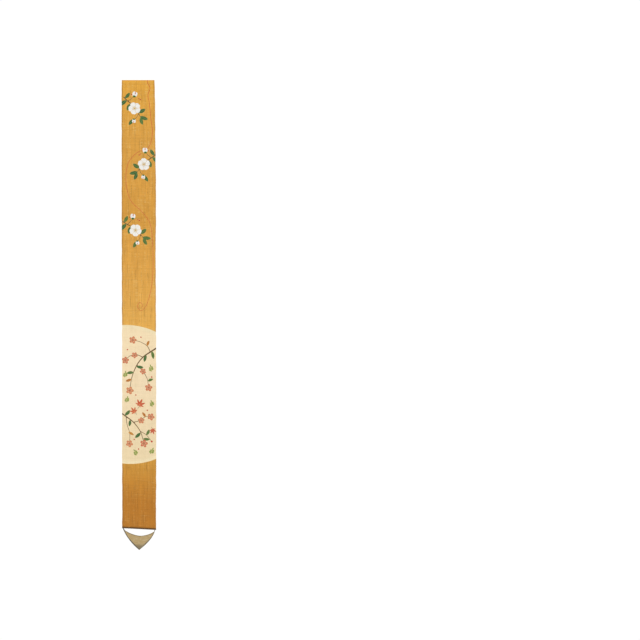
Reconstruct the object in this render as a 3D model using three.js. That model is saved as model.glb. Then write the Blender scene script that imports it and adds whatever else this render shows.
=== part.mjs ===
// Narrow woven hanging, held at its top edge, with a slim grooved strip that grips the
// cloth's lower edge and a pointed crescent weight whose two horns meet the strip below.
// Millimetres, +Z up. The cloth's face looks along -Y. The origin is in the middle of the
// top edge, where the hanging is held up, and the cloth drops from there along -Z.

import * as THREE from "three";
import { mergeVertices } from "three/addons/utils/BufferGeometryUtils.js";

// Cloth. Its side edges drift a little as it hangs: each row gives, at one drop below the
// top edge, how far the left and the right edge stand from the centre line.
const CLOTH_THICKNESS = 1.0;
const CLOTH_COLUMNS = 8;
const CLOTH_ROW_STEP = 12;
const HEM_DEPTH = 15;
const HEM_GAP = 0.35;
const HEM_INSET = 0.5;
const HEM_ROWS = 2;
const FOLD_STEPS = 6;
const SIDE_EDGES = [
  { drop: 0, left: -50.6, right: 46.0 },
  { drop: 30, left: -51.0, right: 47.1 },
  { drop: 120, left: -51.0, right: 48.1 },
  { drop: 250, left: -51.0, right: 49.3 },
  { drop: 300, left: -50.8, right: 50.4 },
  { drop: 430, left: -50.6, right: 50.4 },
  { drop: 500, left: -50.6, right: 49.5 },
  { drop: 650, left: -50.1, right: 50.1 },
  { drop: 790, left: -49.5, right: 50.8 },
  { drop: 1010, left: -49.4, right: 51.3 },
  { drop: 1190, left: -49.3, right: 51.0 },
  { drop: 1275, left: -49.0, right: 50.4 },
  { drop: 1335, left: -49.6, right: 51.0 },
];

// Slow waves of the hung cloth, as depth against drop, and the curl of its side edges.
const WAVES = [
  { depth: 0.9, length: 610, phase: 0.6, skew: 0.9 },
  { depth: 0.5, length: 273, phase: 2.1, skew: -1.4 },
  { depth: 0.25, length: 127, phase: 4.0, skew: 2.2 },
];
const CURL = { depth: 0.8, length: 880, phase: 1.2 };
const CALM_AT_ENDS = 90;
const CALM_MARGIN = 22;
const HALF_WIDTH = 50;

// Small unevenness of the woven side edges.
const EDGE_RIPPLE = [
  { depth: 0.22, length: 71, phase: 0.3 },
  { depth: 0.15, length: 39, phase: 1.9 },
];

// Grooved strip along the cloth's lower edge. It hangs a little lower at the right.
const STRIP_LENGTH = 101;
const STRIP_HEIGHT = 4.6;
const STRIP_DEPTH = 4.0;
const STRIP_DROP = 1330;
const STRIP_SHIFT = 0.7;
const STRIP_TILT = THREE.MathUtils.degToRad(3.0);
const GROOVE_DEPTH = 2.6;
const STRIP_ROUND = 0.8;
const GAP = 0.3;

// Crescent weight, across and down from the origin. Its inner edge runs from the left horn
// to the right horn; its outer edge is two bent sides that meet in the tip.
const INNER_EDGE = [
  { across: -40.8, drop: 1336.4 },
  { across: -36.2, drop: 1339.0 },
  { across: -27.0, drop: 1344.0 },
  { across: -12.0, drop: 1349.3 },
  { across: 4.5, drop: 1352.2 },
  { across: 20.0, drop: 1350.2 },
  { across: 34.0, drop: 1345.8 },
  { across: 41.4, drop: 1341.6 },
  { across: 44.9, drop: 1339.6 },
];
const HORN_ENDS = { leftOuter: -48.0, leftInner: -44.6, rightInner: 45.9, rightOuter: 48.0 };
const TIP = { across: 0.8, drop: 1394.5 };
const LEFT_BEND = { across: -34.0, drop: 1365.4 };
const RIGHT_BEND = { across: 43.0, drop: 1362.2 };
const WEIGHT_STATIONS = 48;
const HORN_THICKNESS = 3.0;
const BELLY_THICKNESS = 5.0;
const BELLY_SPREAD = 0.6;
const WEIGHT_ROUND = 1.3;
const CORNER_STEPS = 3;

const foldRadius = (CLOTH_THICKNESS + HEM_GAP) / 2;
const foldCentreZ = -(foldRadius + CLOTH_THICKNESS / 2);
const faceY = -foldRadius;

function smoothStep(t) {
  const c = Math.min(1, Math.max(0, t));
  return c * c * (3 - 2 * c);
}

function edgeAt(drop, side) {
  const last = SIDE_EDGES.length - 1;
  let k = 0;
  while (k < last - 1 && SIDE_EDGES[k + 1].drop < drop) k += 1;
  const a = SIDE_EDGES[k];
  const b = SIDE_EDGES[k + 1];
  const t = smoothStep((drop - a.drop) / (b.drop - a.drop));
  const base = a[side] + (b[side] - a[side]) * t;
  const turn = side === "left" ? 0 : Math.PI / 2;
  const ripple = EDGE_RIPPLE.reduce(
    (sum, r) => sum + r.depth * Math.sin((2 * Math.PI * drop) / r.length + r.phase + turn),
    0,
  );
  return base + ripple;
}

// How far the cloth stands off its flat plane at one place; it is calm at both ends.
function waveAt(x, drop) {
  const fromTop = smoothStep((drop - CALM_MARGIN) / CALM_AT_ENDS);
  const fromStrip = smoothStep((STRIP_DROP - CALM_MARGIN - drop) / CALM_AT_ENDS);
  const across = x / HALF_WIDTH;
  const waves = WAVES.reduce(
    (sum, w) => sum + w.depth * Math.sin((2 * Math.PI * drop) / w.length + w.phase + w.skew * across),
    0,
  );
  const curl = CURL.depth * across * across * Math.sin((2 * Math.PI * drop) / CURL.length + CURL.phase);
  return (waves + curl) * fromTop * fromStrip;
}

// Height of the strip's own centre line under a point of the cloth.
function stripZ(x) {
  return -STRIP_DROP - (x - STRIP_SHIFT) * Math.tan(STRIP_TILT);
}

// The cloth's path from the hem's free edge, over the fold at the top and down the face.
// share is the part of the way down from the fold to the cloth's lower end.
function clothPath() {
  const path = [];
  for (let k = 0; k <= HEM_ROWS; k += 1) {
    const z = -HEM_DEPTH + ((foldCentreZ + HEM_DEPTH) * k) / HEM_ROWS;
    path.push({ y: foldRadius, z, ny: 1, nz: 0, inset: HEM_INSET });
  }
  for (let k = 1; k < FOLD_STEPS; k += 1) {
    const a = (Math.PI * k) / FOLD_STEPS;
    path.push({
      y: foldRadius * Math.cos(a),
      z: foldCentreZ + foldRadius * Math.sin(a),
      ny: Math.cos(a),
      nz: Math.sin(a),
      inset: HEM_INSET * (1 - k / FOLD_STEPS),
    });
  }
  const faceRows = Math.round((STRIP_DROP + foldCentreZ) / CLOTH_ROW_STEP);
  for (let k = 0; k <= faceRows; k += 1) {
    path.push({ y: faceY, share: k / faceRows, ny: -1, nz: 0, inset: 0 });
  }
  return path;
}

function clothPoint(row, column, side) {
  const drop = row.share === undefined ? -row.z : -foldCentreZ + (STRIP_DROP + foldCentreZ) * row.share;
  const left = edgeAt(drop, "left") + row.inset;
  const right = edgeAt(drop, "right") - row.inset;
  const x = left + ((right - left) * column) / CLOTH_COLUMNS;
  const z = row.share === undefined ? row.z : foldCentreZ + (stripZ(x) - foldCentreZ) * row.share;
  const off = (side * CLOTH_THICKNESS) / 2;
  return [x, row.y + waveAt(x, -z) + row.ny * off, z + row.nz * off];
}

// A closed solid from points and triangles, turned the right way out.
function solidFrom(points, faces) {
  let volume = 0;
  for (const [a, b, c] of faces) {
    const p = points[a];
    const q = points[b];
    const r = points[c];
    volume += p[0] * (q[1] * r[2] - q[2] * r[1]);
    volume += p[1] * (q[2] * r[0] - q[0] * r[2]);
    volume += p[2] * (q[0] * r[1] - q[1] * r[0]);
  }
  const order = volume < 0 ? faces.map(([a, b, c]) => [a, c, b]) : faces;
  const geometry = new THREE.BufferGeometry();
  geometry.setAttribute("position", new THREE.Float32BufferAttribute(points.flat(), 3));
  geometry.setIndex(order.flat());
  return geometry;
}

function sheetGeometry() {
  const path = clothPath();
  const across = CLOTH_COLUMNS + 1;
  const layer = path.length * across;
  const points = [];
  for (const side of [1, -1]) {
    for (const row of path) {
      for (let c = 0; c < across; c += 1) points.push(clothPoint(row, c, side));
    }
  }
  const faces = [];
  const quad = (a, b, c, d) => faces.push([a, b, c], [a, c, d]);
  for (let r = 0; r < path.length - 1; r += 1) {
    for (let c = 0; c < CLOTH_COLUMNS; c += 1) {
      const at = r * across + c;
      quad(at, at + 1, at + across + 1, at + across);
      quad(layer + at, layer + at + across, layer + at + across + 1, layer + at + 1);
    }
    for (const c of [0, CLOTH_COLUMNS]) {
      const at = r * across + c;
      if (c === 0) quad(at, at + across, layer + at + across, layer + at);
      else quad(at, layer + at, layer + at + across, at + across);
    }
  }
  for (const r of [0, path.length - 1]) {
    for (let c = 0; c < CLOTH_COLUMNS; c += 1) {
      const at = r * across + c;
      if (r === 0) quad(at, layer + at, layer + at + 1, at + 1);
      else quad(at, at + 1, layer + at + 1, layer + at);
    }
  }
  return solidFrom(points, faces);
}

// U-shaped section of the strip, open upwards, extruded along the strip.
function stripGeometry() {
  const w = STRIP_DEPTH / 2;
  const h = STRIP_HEIGHT / 2;
  const slot = CLOTH_THICKNESS / 2 + GAP;
  const shape = new THREE.Shape();
  shape.moveTo(-w, h);
  shape.lineTo(-w, -h + STRIP_ROUND);
  shape.quadraticCurveTo(-w, -h, -w + STRIP_ROUND, -h);
  shape.lineTo(w - STRIP_ROUND, -h);
  shape.quadraticCurveTo(w, -h, w, -h + STRIP_ROUND);
  shape.lineTo(w, h);
  shape.lineTo(slot, h);
  shape.lineTo(slot, h - GROOVE_DEPTH);
  shape.lineTo(-slot, h - GROOVE_DEPTH);
  shape.lineTo(-slot, h);
  shape.closePath();
  const strip = new THREE.ExtrudeGeometry(shape, {
    depth: STRIP_LENGTH,
    bevelEnabled: false,
    curveSegments: 3,
  });
  strip.translate(0, 0, -STRIP_LENGTH / 2);
  // The section's own X and Y become Y and Z, and the extrusion runs along X.
  strip.applyMatrix4(new THREE.Matrix4().set(0, 0, 1, 0, 1, 0, 0, 0, 0, 1, 0, 0, 0, 0, 0, 1));
  strip.deleteAttribute("normal");
  strip.deleteAttribute("uv");
  return mergeVertices(strip, 1e-4);
}

// A horn ends along the strip's underside, with the gap between them.
function hornEnd(across) {
  const below = (STRIP_HEIGHT / 2 + GAP) / Math.cos(STRIP_TILT);
  return new THREE.Vector2(across, stripZ(across) - below);
}

function spot(row) {
  return new THREE.Vector2(row.across, -row.drop);
}

const innerCurve = new THREE.SplineCurve([
  hornEnd(HORN_ENDS.leftInner),
  ...INNER_EDGE.map(spot),
  hornEnd(HORN_ENDS.rightInner),
]);
const leftCurve = new THREE.QuadraticBezierCurve(hornEnd(HORN_ENDS.leftOuter), spot(LEFT_BEND), spot(TIP));
const rightCurve = new THREE.QuadraticBezierCurve(hornEnd(HORN_ENDS.rightOuter), spot(RIGHT_BEND), spot(TIP));

// One rounded oblong cut through the weight, from its inner to its outer edge. The share
// runs from 0 at the left horn to 1 at the right horn.
function weightSection(share) {
  const inner = innerCurve.getPointAt(share);
  const outer = share <= 0.5 ? leftCurve.getPointAt(2 * share) : rightCurve.getPointAt(2 - 2 * share);
  const width = inner.distanceTo(outer);
  const along = outer.clone().sub(inner).divideScalar(width);
  const belly = Math.sin(Math.PI * share) ** BELLY_SPREAD;
  const half = (HORN_THICKNESS + (BELLY_THICKNESS - HORN_THICKNESS) * belly) / 2;
  const round = Math.min(WEIGHT_ROUND, width * 0.4);
  const corners = [
    { at: width - round, y: half - round, turn: 0 },
    { at: round, y: half - round, turn: 1 },
    { at: round, y: -half + round, turn: 2 },
    { at: width - round, y: -half + round, turn: 3 },
  ];
  const loop = [];
  for (const corner of corners) {
    for (let k = 0; k <= CORNER_STEPS; k += 1) {
      const a = (Math.PI / 2) * (corner.turn + k / CORNER_STEPS);
      const at = corner.at + round * Math.cos(a);
      const y = corner.y + round * Math.sin(a);
      loop.push([inner.x + along.x * at, faceY + y, inner.y + along.y * at]);
    }
  }
  return loop;
}

function weightGeometry() {
  const loops = [];
  for (let k = 0; k <= WEIGHT_STATIONS; k += 1) loops.push(weightSection(k / WEIGHT_STATIONS));
  const ring = loops[0].length;
  const faces = [];
  for (let k = 0; k < WEIGHT_STATIONS; k += 1) {
    for (let j = 0; j < ring; j += 1) {
      const a = k * ring + j;
      const b = k * ring + ((j + 1) % ring);
      faces.push([a, a + ring, b], [b, a + ring, b + ring]);
    }
  }
  const lastRing = WEIGHT_STATIONS * ring;
  for (let j = 1; j < ring - 1; j += 1) {
    faces.push([0, j, j + 1]);
    faces.push([lastRing, lastRing + j + 1, lastRing + j]);
  }
  return solidFrom(loops.flat(), faces);
}

function piece(name, geometry, color, roughness) {
  const mesh = new THREE.Mesh(geometry, new THREE.MeshStandardMaterial({ color, roughness, metalness: 0 }));
  mesh.name = name;
  return mesh;
}

const hanging = new THREE.Group();
hanging.add(piece("cloth", sheetGeometry(), 0xd19a38, 0.95));

const strip = piece("bottom_strip", stripGeometry(), 0x4a3018, 0.6);
strip.position.set(STRIP_SHIFT, faceY, -STRIP_DROP);
strip.rotation.y = STRIP_TILT;
hanging.add(strip);

hanging.add(piece("weight", weightGeometry(), 0xb8a277, 0.55));

export default hanging;
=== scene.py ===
"""A long narrow woven hanging with a dyed pattern, a slim strip along its lower edge and a
pointed crescent weight, hung in front of a plain pale studio."""

import math
from types import SimpleNamespace

import bpy
import numpy as np
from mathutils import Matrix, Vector


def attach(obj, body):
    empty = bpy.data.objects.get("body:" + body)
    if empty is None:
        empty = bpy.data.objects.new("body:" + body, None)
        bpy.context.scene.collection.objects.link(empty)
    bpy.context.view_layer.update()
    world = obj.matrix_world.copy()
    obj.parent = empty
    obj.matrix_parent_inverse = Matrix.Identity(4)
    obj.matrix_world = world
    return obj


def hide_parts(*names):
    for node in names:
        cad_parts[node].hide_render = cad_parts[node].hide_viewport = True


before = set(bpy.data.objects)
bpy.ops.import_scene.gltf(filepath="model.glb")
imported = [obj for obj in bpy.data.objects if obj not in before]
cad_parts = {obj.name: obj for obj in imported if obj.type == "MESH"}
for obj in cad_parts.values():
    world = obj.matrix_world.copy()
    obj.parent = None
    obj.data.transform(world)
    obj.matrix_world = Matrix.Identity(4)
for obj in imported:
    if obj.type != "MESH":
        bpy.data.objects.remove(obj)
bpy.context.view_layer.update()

MM = 0.001
TAU = 2 * math.pi

# Sizes in millimetres, the same as those of the solids in the frame.
STRIP_DROP = 1330.0
STRIP_LENGTH = 101.0
STRIP_HEIGHT = 4.6
STRIP_DEPTH = 4.0
STRIP_SHIFT = 0.7
STRIP_TILT = math.radians(3.0)
GROOVE_DEPTH = 2.6
CLOTH_SOLID = 1.0
GAP = 0.3
HEM_DEPTH = 15.0
HEM_INSET = 0.5
FOLD_RADIUS = (CLOTH_SOLID + 0.35) / 2
FOLD_CENTRE = FOLD_RADIUS + CLOTH_SOLID / 2
FACE_Y = -FOLD_RADIUS
HALF_WIDTH = 50.0

SIDE_EDGES = [
    # drop, left, right
    (0, -50.6, 46.0),
    (30, -51.0, 47.1),
    (120, -51.0, 48.1),
    (250, -51.0, 49.3),
    (300, -50.8, 50.4),
    (430, -50.6, 50.4),
    (500, -50.6, 49.5),
    (650, -50.1, 50.1),
    (790, -49.5, 50.8),
    (1010, -49.4, 51.3),
    (1190, -49.3, 51.0),
    (1275, -49.0, 50.4),
    (1335, -49.6, 51.0),
]
WAVES = [
    # depth, length, phase, skew
    (0.9, 610, 0.6, 0.9),
    (0.5, 273, 2.1, -1.4),
    (0.25, 127, 4.0, 2.2),
]
CURL_DEPTH, CURL_LENGTH, CURL_PHASE = 0.8, 880, 1.2
CALM_MARGIN, CALM_AT_ENDS = 22, 90
EDGE_RIPPLE = [(0.22, 71, 0.3), (0.15, 39, 1.9)]
PUCKERS = [
    # height, size across, size down, seed; the last two are single warps and single wefts
    (0.16, 11, 17, 3),
    (0.08, 4.3, 6.1, 4),
    (0.07, 1.3, 60, 5),
    (0.05, 45, 1.4, 6),
]
FLAT_AT_STRIP, PUCKERS_RISE = 6, 20

# The photograph's frame, and where the cloth's centre line and top edge lie in it.
FRAME_PIXELS = 640
MM_PER_PIXEL = 2.967
CENTRE_LINE_PIXEL = 138.9
TOP_EDGE_PIXEL = 80.0


def smooth(t):
    t = np.clip(t, 0.0, 1.0)
    return t * t * (3 - 2 * t)


def lattice(ix, iy, seed):
    n = np.sin(ix * 127.1 + iy * 311.7 + seed * 74.7) * 43758.5453
    return n - np.floor(n)


def value_noise(x, y, seed):
    """Smooth noise from -1 to 1 on a unit lattice."""
    x, y = np.broadcast_arrays(np.asarray(x, float), np.asarray(y, float))
    ix, iy = np.floor(x), np.floor(y)
    fx, fy = smooth(x - ix), smooth(y - iy)
    low = lattice(ix, iy, seed) * (1 - fx) + lattice(ix + 1, iy, seed) * fx
    high = lattice(ix, iy + 1, seed) * (1 - fx) + lattice(ix + 1, iy + 1, seed) * fx
    return 2 * (low * (1 - fy) + high * fy) - 1


# Shape of the hung cloth

def side_edge(drop, side):
    """Distance of the left (0) or right (1) edge from the centre line."""
    rows = np.array(SIDE_EDGES)
    drops, values = rows[:, 0], rows[:, 1 + side]
    place = np.clip(np.searchsorted(drops, drop) - 1, 0, len(drops) - 2)
    share = smooth((drop - drops[place]) / (drops[place + 1] - drops[place]))
    edge = values[place] + (values[place + 1] - values[place]) * share
    for depth, length, phase in EDGE_RIPPLE:
        edge = edge + depth * np.sin(TAU * drop / length + phase + side * math.pi / 2)
    return edge


def wave(x, drop):
    """How far the cloth stands off its flat plane."""
    from_top = smooth((drop - CALM_MARGIN) / CALM_AT_ENDS)
    from_strip = smooth((STRIP_DROP - CALM_MARGIN - drop) / CALM_AT_ENDS)
    across = x / HALF_WIDTH
    total = CURL_DEPTH * across * across * np.sin(TAU * drop / CURL_LENGTH + CURL_PHASE)
    for depth, length, phase, skew in WAVES:
        total = total + depth * np.sin(TAU * drop / length + phase + skew * across)
    return total * from_top * from_strip


def strip_z(x):
    return -STRIP_DROP - (x - STRIP_SHIFT) * math.tan(STRIP_TILT)


def cockle(x, drop):
    """Small unevenness of hand-woven cloth: soft puckers and slightly proud yarns."""
    total = 0.0
    for height, wide, long, seed in PUCKERS:
        total = total + height * value_noise(x / wide, drop / long, seed)
    return total * smooth((STRIP_DROP - FLAT_AT_STRIP - drop) / PUCKERS_RISE)


def face_z(x, drop):
    share = (drop - FOLD_CENTRE) / (STRIP_DROP - FOLD_CENTRE)
    return -FOLD_CENTRE + (strip_z(x) + FOLD_CENTRE) * share


def face_point(x, drop):
    """A place on the cloth's hanging face, in metres."""
    y = FACE_Y + wave(x, drop) + cockle(x, drop)
    return np.stack(np.broadcast_arrays(x, y, face_z(x, drop)), axis=-1) * MM


# Dyed pattern: signed distances in millimetres from the edges of each colour

FAR = 9.0
LAYERS = (
    "moon", "gold_leaf", "leaf", "red_leaf", "sprig", "small_flower",
    "bud", "open_flower", "red", "cup",
)
LINES = ("twig", "vine", "stem")
LINE_REACH = 4.0
LINE_MARGIN = 0.55
PLACES = ("rib_off", "rib_along", "leaf_tone", "flower_x", "flower_y", "flower_tone")


def turned(degrees):
    return math.cos(math.radians(degrees)), math.sin(math.radians(degrees))


def oval(x, y, cx, cy, rx, ry, turn):
    """Distance from an oval's edge, close to true near the edge."""
    c, s = math.cos(turn), math.sin(turn)
    u = (c * (x - cx) + s * (y - cy)) / rx
    v = (-s * (x - cx) + c * (y - cy)) / ry
    k = np.hypot(u, v)
    slope = np.hypot(u / rx, v / ry)
    return np.where(k > 0.3, k * (k - 1) / np.maximum(slope, 1e-6), (k - 1) * min(rx, ry))


def pointed(x, y, length, width):
    """A leaf with two points that grows from the origin along +y."""
    h, w = length / 2, width / 2
    radius = (h * h + w * w) / (2 * w)
    offset = radius - w
    return np.maximum(np.hypot(x - offset, y - h), np.hypot(x + offset, y - h)) - radius


def bend_through(points, steps):
    """A smooth curve through a short list of points."""
    points = [np.array(p, float) for p in points]
    ends = [2 * points[0] - points[1]] + points + [2 * points[-1] - points[-2]]
    curve = []
    for a, b, c, d in zip(ends, ends[1:], ends[2:], ends[3:]):
        for k in range(steps):
            t = k / steps
            square = 2 * a - 5 * b + 4 * c - d
            cube = 3 * b - a - 3 * c + d
            curve.append(0.5 * (2 * b + (c - a) * t + square * t * t + cube * t ** 3))
    curve.append(points[-1])
    return curve


class Dye:
    """The pattern's distances at each of a list of points on the cloth.

    The material draws what is finer than the points are apart. For that each point also keeps
    its place in the nearest leaf (across and along its rib) and in the nearest blossom, and,
    for each colour of line, how far it is from the nearest line, on which side, and that
    line's half width.
    """

    def __init__(self, across, drop):
        self.across = np.asarray(across, float)
        self.drop = np.asarray(drop, float)
        count = len(self.across)
        self.layers = {name: np.full(count, FAR) for name in LAYERS}
        self.leaf_gap = np.full(count, FAR)
        self.flower_gap = np.full(count, FAR)
        self.places = {name: np.full(count, FAR) for name in PLACES}
        self.lines = {name: {
            "gap": np.full(count, FAR), "off": np.full(count, FAR), "half": np.full(count, 0.5),
        } for name in LINES}

    def around(self, across, drop, reach_across, reach_drop):
        """Which points lie within a box round a place."""
        beside = abs(self.across - across) < reach_across
        return np.nonzero(beside & (abs(self.drop - drop) < reach_drop))[0]

    def near(self, across, drop, heading, reach):
        """The points near a motif, and their places in its own frame, its +y along the
        heading in degrees clockwise from up."""
        chosen = self.around(across, drop, reach, reach)
        x = self.across[chosen] - across
        y = drop - self.drop[chosen]
        c, s = turned(heading)
        return chosen, c * x - s * y, s * x + c * y

    def lay(self, layer, chosen, distance):
        kept = self.layers[layer]
        kept[chosen] = np.minimum(kept[chosen], distance)

    def keep_place(self, gap, chosen, distance, **places):
        """Keeps the motif's own places at the points that are nearer to it than to others."""
        nearer = distance < gap[chosen]
        gap[chosen[nearer]] = distance[nearer]
        for name, values in places.items():
            self.places[name][chosen[nearer]] = values[nearer]

    def line(self, name, points, thick, thin, steps=6):
        """A curved line through places (across, drop) that tapers from thick to thin."""
        curve = bend_through(points, steps)
        halves = np.linspace(thick, thin, len(curve))
        kept = self.lines[name]
        for (ax, ad), (bx, bd), half_a, half_b in zip(curve, curve[1:], halves, halves[1:]):
            dx, dd = bx - ax, bd - ad
            reaches = abs(dx) / 2 + LINE_REACH, abs(dd) / 2 + LINE_REACH
            chosen = self.around(ax + dx / 2, ad + dd / 2, *reaches)
            x, d = self.across[chosen] - ax, self.drop[chosen] - ad
            t = np.clip((x * dx + d * dd) / (dx * dx + dd * dd), 0, 1)
            gap = np.hypot(x - t * dx, d - t * dd)
            closer = gap < kept["gap"][chosen]
            at = chosen[closer]
            kept["gap"][at] = gap[closer]
            kept["off"][at] = (gap * np.sign(x * dd - d * dx))[closer]
            kept["half"][at] = (half_a + (half_b - half_a) * t)[closer]

    def leaf(self, layer, across, drop, heading, length, width, bow=0.0):
        """A pointed leaf; bow curves it to one side."""
        chosen, x, y = self.near(across, drop, heading, 1.15 * length)
        t = np.clip(y / length, -0.2, 1.2)
        x = x - bow * length * t * (1 - t)
        shape = pointed(x, y, length, width)
        self.lay(layer, chosen, shape)
        tone = np.full(len(chosen), lattice(across, drop, 120))
        self.keep_place(self.leaf_gap, chosen, shape, rib_off=x, rib_along=y, leaf_tone=tone)

    def blossom(self, layer, across, drop, heading, size):
        """The round field in which the material draws a blossom's petals."""
        chosen, x, y = self.near(across, drop, heading, 1.7 * size)
        field = np.hypot(x, y) - 1.15 * size
        self.lay(layer, chosen, field)
        tone = np.full(len(chosen), lattice(across, drop, 121))
        self.keep_place(
            self.flower_gap, chosen, field, flower_x=x / size, flower_y=y / size, flower_tone=tone,
        )

    def dot(self, layer, across, drop, radius):
        chosen, x, y = self.near(across, drop, 0, radius + FAR)
        self.lay(layer, chosen, np.hypot(x, y) - radius)


# White blossoms, three sprays on the upper cloth. A spray's own places have +y up.

WHITE_SIZE = 18.5
SMALL_SIZE = 11.0
SPRAY_TWIGS = [
    # points from the thick end to the thin end, and the half widths at the two ends
    ([(-27, 37), (-17, 24), (-6, 12), (8, -12), (14, -30)], 1.35, 0.6),
    ([(-17, 24), (-6, 29), (4, 35)], 0.8, 0.5),
    ([(10, -17), (3, -27), (-6, -33)], 0.75, 0.45),
]
SPRAY_LEAVES = [
    # x, y, heading, length, width
    (-24, 33, 48, 22, 9.5),
    (-19, 26, -118, 25, 11),
    (-10, 15, -146, 23, 10),
    (9, -14, 72, 24, 11),
    (13, -26, 118, 25, 10.5),
    (14, -29, 172, 23, 10),
    (-5, -32, -128, 24, 10),
]
SPRAY_BUDS = [(4, 34, 22, 12.5), (-6, -31, 190, 9.5)]
SPRAY_BERRIES = [(-3, 42, 1.8), (17, 27, 1.6), (20.5, 23.5, 2.0)]
SPRAYS = [
    # across, drop, heading, flip
    (-13, 84, -8, 1),
    (15, 250, 14, -1),
    (-10, 446, -20, 1),
]


BUD_OVALS = [
    # layer, and as shares of the bud's size the middle x and y and the radii; turn in radians
    ("bud", -0.16, 0.62, 0.42, 0.62, 0.16),
    ("bud", 0.2, 0.6, 0.38, 0.58, -0.2),
    ("red", 0.05, 0.88, 0.09, 0.3, -0.2),
    ("cup", 0.0, 0.08, 0.36, 0.24, 0.0),
]


def placed(across, drop, heading, size=1.0, flip=1):
    """A function that turns a motif's own x and y, +y up, into a place on the cloth."""
    c, s = turned(heading)

    def put(x, y):
        return across + size * (c * flip * x + s * y), drop + size * (s * flip * x - c * y)

    return put


def bud(dye, across, drop, heading, size):
    """A closed bud, white with a red lip, in a green cup."""
    chosen, x, y = dye.near(across, drop, heading, 2.2 * size)
    for layer, *shape in BUD_OVALS:
        dye.lay(layer, chosen, size * oval(x / size, y / size, *shape))


def spray(dye, across, drop, heading, flip):
    """A twig with one open blossom, two buds, seven leaves and a few red berries."""
    put = placed(across, drop, heading, flip=flip)
    for points, thick, thin in SPRAY_TWIGS:
        dye.line("twig", [put(*p) for p in points], thick, thin)
    for x, y, leaf_heading, length, width in SPRAY_LEAVES:
        dye.leaf("leaf", *put(x, y), heading + flip * leaf_heading, length, width, 0.16 * flip)
    for x, y, bud_heading, size in SPRAY_BUDS:
        bud(dye, *put(x, y), heading + flip * bud_heading, size)
    for x, y, size in SPRAY_BERRIES:
        dye.dot("red", *put(x, y), size)
    dye.blossom("open_flower", across, drop, heading, WHITE_SIZE)


# The thin red line that wanders down the cloth and ends in a curl, as (across, drop).
VINE = [
    (30, -20), (25, 6), (33, 24), (27, 45), (31, 70), (36, 118), (40, 160), (28, 200), (-6, 216),
    (-33, 250), (-38, 306), (-24, 358), (10, 392), (34, 428), (41, 490), (42, 560), (36, 620),
    (22, 668), (6, 684), (-4, 672), (2, 660), (11, 667), (8, 675),
]
VINE_HALF_WIDTHS = (0.72, 0.5)
VINE_STEPS = 12


# The pale full moon, cropped by the cloth's edges, with two flowering branches before it.

MOON_ACROSS, MOON_DROP, MOON_RADIUS = -34.0, 934.0, 206.0
BRANCHES = [
    # places from the thick end to the thin end, and the half widths at the two ends
    ([(58, 790), (34, 806), (12, 822), (-6, 846), (-20, 880), (-27, 918)], 2.1, 0.6),
    ([(34, 806), (24, 788), (4, 777), (-18, 772)], 0.95, 0.5),
    ([(-6, 846), (10, 862), (24, 884), (29, 910)], 1.0, 0.5),
    ([(12, 822), (-8, 815), (-27, 820), (-40, 832)], 1.0, 0.5),
    ([(-58, 986), (-38, 1000), (-16, 1016), (4, 1042), (15, 1076)], 1.9, 0.6),
    ([(-16, 1016), (4, 1010), (20, 998), (36, 998)], 0.9, 0.5),
    ([(4, 1042), (22, 1052), (37, 1070)], 0.8, 0.45),
    ([(-38, 1000), (-35, 1024), (-27, 1050), (-28, 1078)], 0.85, 0.45),
]
SMALL_FLOWERS = [
    # across, drop, heading, size
    (-18, 772, 15, 11.5),
    (-40, 833, 5, 11),
    (-13, 817, 33, 9.5),
    (-27, 922, 20, 12),
    (12, 864, 44, 9.5),
    (29, 912, 8, 11.5),
    (36, 998, 25, 11),
    (7, 1010, 0, 10),
    (15, 1078, 12, 12),
    (-28, 1080, 30, 11),
]
BUDS_AND_BERRIES = [
    # across, drop, radius
    (6, 763, 2.1), (-34, 801, 2.0), (38, 880, 2.2), (-9, 935, 2.0),
    (25, 979, 2.1), (-14, 1067, 2.0), (38, 1071, 2.8), (-1, 1095, 2.1),
]
BRANCH_LEAVES = [
    # layer, across, drop, heading, length, width
    ("leaf", 38, 803, 168, 24, 9),
    ("leaf", 22, 815, 196, 22, 8.5),
    ("gold_leaf", 24, 789, 22, 18, 7),
    ("leaf", -8, 850, 96, 22, 8.5),
    ("gold_leaf", -22, 888, -112, 19, 7.5),
    ("leaf", -15, 868, -100, 22, 8.5),
    ("leaf", 26, 893, 66, 18, 7.5),
    ("leaf", -42, 997, 44, 23, 9),
    ("leaf", -26, 1009, 188, 20, 8),
    ("gold_leaf", 20, 1000, -34, 18, 7),
    ("leaf", 5, 1046, 226, 23, 9),
    ("leaf", 22, 1053, 28, 20, 8),
    ("gold_leaf", -31, 1046, 118, 18, 7),
    ("leaf", 12, 1064, 92, 21, 8),
]
SPRIGS = [
    # across, drop, heading, size
    (37, 864, -10, 20),
    (-42, 884, 6, 19),
    (40, 968, -14, 19),
    (-38, 958, 14, 19),
    (34, 1108, 24, 20),
    (-6, 1114, -30, 19),
]
MAPLES = [
    # across, drop, heading, size
    (2, 964, 24, 30),
    (-13, 985, -38, 25),
    (40, 1036, 160, 22),
]
# Each lobe's turn and its reach as a share of the leaf's size
MAPLE_LOBES = [
    (0, 0.66), (45, 0.6), (-45, 0.6), (90, 0.45), (-90, 0.45), (134, 0.27), (-134, 0.27),
]
STALK_MIDDLE, STALK_END, STALK_BEND = -0.2, -0.38, 0.8


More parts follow.
